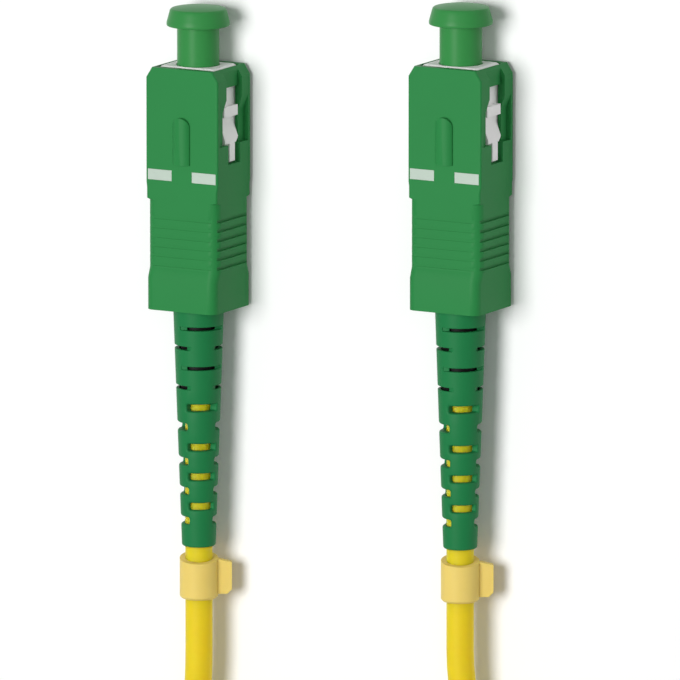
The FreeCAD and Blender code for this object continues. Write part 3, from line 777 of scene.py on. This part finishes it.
    def sink_slot(self, shape, axis, station, side, reach):
        """Press one slot into the outside, deeper from its ends to where it opens."""
        faces = self.slot_faces(shape, axis, station, side, reach)
        outer = [face for face in faces if self.faces_out(face, axis)]
        pressed = bmesh.ops.extrude_face_region(shape, geom=outer)["geom"]
        for vert in [item for item in pressed if isinstance(item, bmesh.types.BMVert)]:
            away = vert.co - axis
            away.y = 0.0
            inwards = min(1.0, (reach - away.angle(side)) / (reach - NARROW_REACH))
            share = NARROW_END + (1 - NARROW_END) * inwards
            vert.co -= away.normalized() * (away.length - NARROW_FLOOR) * share
        bmesh.ops.delete(shape, geom=outer, context="FACES")

    def open_slot(self, shape, faces):
        """Open one slot from the outside to the bore."""
        rim = [
            edge for face in faces for edge in face.edges
            if sum(other in faces for other in edge.link_faces) == 1]
        bmesh.ops.delete(shape, geom=faces, context="FACES")
        bmesh.ops.bridge_loops(shape, edges=rim)


class PATCHCABLE_OT_caps(bpy.types.Operator):
    """Finish the dust caps"""
    bl_idname = "patchcable.caps"
    bl_label = "Finish Caps"

    def execute(self, context):
        settings = context.scene.patch_connector
        green = moulded("cap_green_soft", settings.cap_colour, roughness=0.36, grain=0.08)
        dress_softly("dust_cap", "dust_cap_shell", settings.edge_round, green, "cap_{}")
        return {"FINISHED"}


class PATCHCABLE_OT_clips(bpy.types.Operator):
    """Finish the clips on the cable"""
    bl_idname = "patchcable.clips"
    bl_label = "Finish Clips"

    def execute(self, context):
        settings = context.scene.patch_connector
        cream = moulded(
            "clip_cream_soft", settings.clip_colour, roughness=0.42, grain=0.06, depth=CLIP_DEPTH)
        width = settings.edge_round * CLIP_ROUND_SHARE
        dress_softly("cable_clip", "cable_clip_ring", width, cream, "cable")
        return {"FINISHED"}


class PATCHCABLE_OT_stage(bpy.types.Operator):
    """Set the floor, the light and the camera"""
    bl_idname = "patchcable.stage"
    bl_label = "Set Stage"

    def execute(self, context):
        settings = context.scene.patch_stage
        scene = context.scene
        scene.view_settings.view_transform = "Standard"
        self.floor(scene)
        self.sky(scene, settings.sky)
        self.lamp(scene, "key", settings.key_power)
        self.lamp(scene, "fill", settings.fill_power)
        self.camera(scene, settings)
        return {"FINISHED"}

    def seen(self, finish):
        """Return 1 for rays that show the background and 0 for those that light the object."""
        paths = ["Is Camera Ray", "Is Glossy Ray", "Is Transmission Ray"]
        camera, glossy, through = [finish.node("ShaderNodeLightPath", output=path) for path in paths]
        return camera + glossy + through

    def floor(self, scene):
        """Lay a white floor that keeps the object's shadow."""
        finish = Finish(bpy.data.materials.new("floor_white"))
        plain = finish.node("ShaderNodeBsdfDiffuse", None, {"Color": FLOOR_COLOUR})
        lift = finish.node("ShaderNodeEmission", None, {"Color": WHITE, "Strength": 1.0})
        mixed = finish.node(
            "ShaderNodeMixShader", None, {0: self.seen(finish) * FLOOR_LIFT, 1: plain, 2: lift})
        finish.node("ShaderNodeOutputMaterial", None, {"Surface": mixed})
        shape = bmesh.new()
        bmesh.ops.create_grid(shape, x_segments=1, y_segments=1, size=FLOOR_REACH)
        mesh = bpy.data.meshes.new("floor")
        shape.to_mesh(mesh)
        shape.free()
        mesh.materials.append(finish.owner)
        floor = bpy.data.objects.new("floor", mesh)
        scene.collection.objects.link(floor)

    def sky(self, scene, strength):
        """Light the object evenly from all round, and show white behind it."""
        finish = Finish(bpy.data.worlds.new("studio_sky"))
        even = finish.node("ShaderNodeBackground", None, {"Color": WHITE, "Strength": strength})
        white = finish.node("ShaderNodeBackground", None, {"Color": WHITE, "Strength": 1.0})
        mixed = finish.node("ShaderNodeMixShader", None, {0: self.seen(finish), 1: even, 2: white})
        finish.node("ShaderNodeOutputWorld", None, {"Surface": mixed})
        scene.world = finish.owner

    def lamp(self, scene, name, power):
        """Hang a soft round lamp that shines on the middle of the stage."""
        size, place = LAMPS[name]
        data = bpy.data.lights.new(name, "AREA")
        data.energy = power
        data.shape = "DISK"
        data.size = size
        lamp = bpy.data.objects.new(name, data)
        lamp.location = place
        lamp.rotation_euler = (-lamp.location).to_track_quat("-Z", "Y").to_euler()
        scene.collection.objects.link(lamp)

    def camera(self, scene, settings):
        """Look down on the connectors, rolled to their right side and pitched towards their caps."""
        data = bpy.data.cameras.new("camera")
        data.lens = settings.lens
        data.clip_start = CAMERA_CLIP
        camera = bpy.data.objects.new("camera", data)
        level = math.cos(settings.pitch)
        away = Vector((
            math.sin(settings.roll) * level, math.sin(settings.pitch), math.cos(settings.roll) * level))
        camera.location = Vector(settings.aim) + away * settings.distance
        right = Vector((0.0, 1.0, 0.0)).cross(away).normalized()
        camera.rotation_euler = Matrix((right, away.cross(right), away)).transposed().to_euler()
        scene.collection.objects.link(camera)
        scene.camera = camera


class PATCHCABLE_PT_panel(bpy.types.Panel):
    """Lists the patch cable's settings and steps"""
    bl_label = "Patch Cable"
    bl_space_type = "VIEW_3D"
    bl_region_type = "UI"
    bl_category = "Patch Cable"

    def draw(self, context):
        for name, group in GROUPS.items():
            box = self.layout.box()
            for setting in group.__annotations__:
                box.prop(getattr(context.scene, name), setting)
        for step in STEPS:
            self.layout.operator(step.bl_idname)


# The tie comes before the cable
STEPS = [
    PATCHCABLE_OT_tie,
    PATCHCABLE_OT_cable,
    PATCHCABLE_OT_grips,
    PATCHCABLE_OT_marks,
    PATCHCABLE_OT_plug_frames,
    PATCHCABLE_OT_ferrules,
    PATCHCABLE_OT_fibres,
    PATCHCABLE_OT_metalwork,
    PATCHCABLE_OT_springs,
    PATCHCABLE_OT_boots,
    PATCHCABLE_OT_caps,
    PATCHCABLE_OT_clips,
    PATCHCABLE_OT_stage,
]
GROUPS = {
    "patch_connector": ConnectorSettings,
    "patch_cable": CableSettings,
    "patch_stage": StageSettings,
}


def register():
    """Register the settings, the steps and the panel."""
    for name, group in GROUPS.items():
        bpy.utils.register_class(group)
        setattr(bpy.types.Scene, name, PointerProperty(type=group))
    for step in STEPS + [PATCHCABLE_PT_panel]:
        bpy.utils.register_class(step)


def unregister():
    """Undo what register did."""
    for step in reversed(STEPS + [PATCHCABLE_PT_panel]):
        bpy.utils.unregister_class(step)
    for name, group in reversed(GROUPS.items()):
        delattr(bpy.types.Scene, name)
        bpy.utils.unregister_class(group)


def main():
    """Dress the whole cable."""
    register()
    for step in STEPS:
        getattr(bpy.ops.patchcable, step.bl_idname.split(".")[1])()


if __name__ == "__main__":
    main()
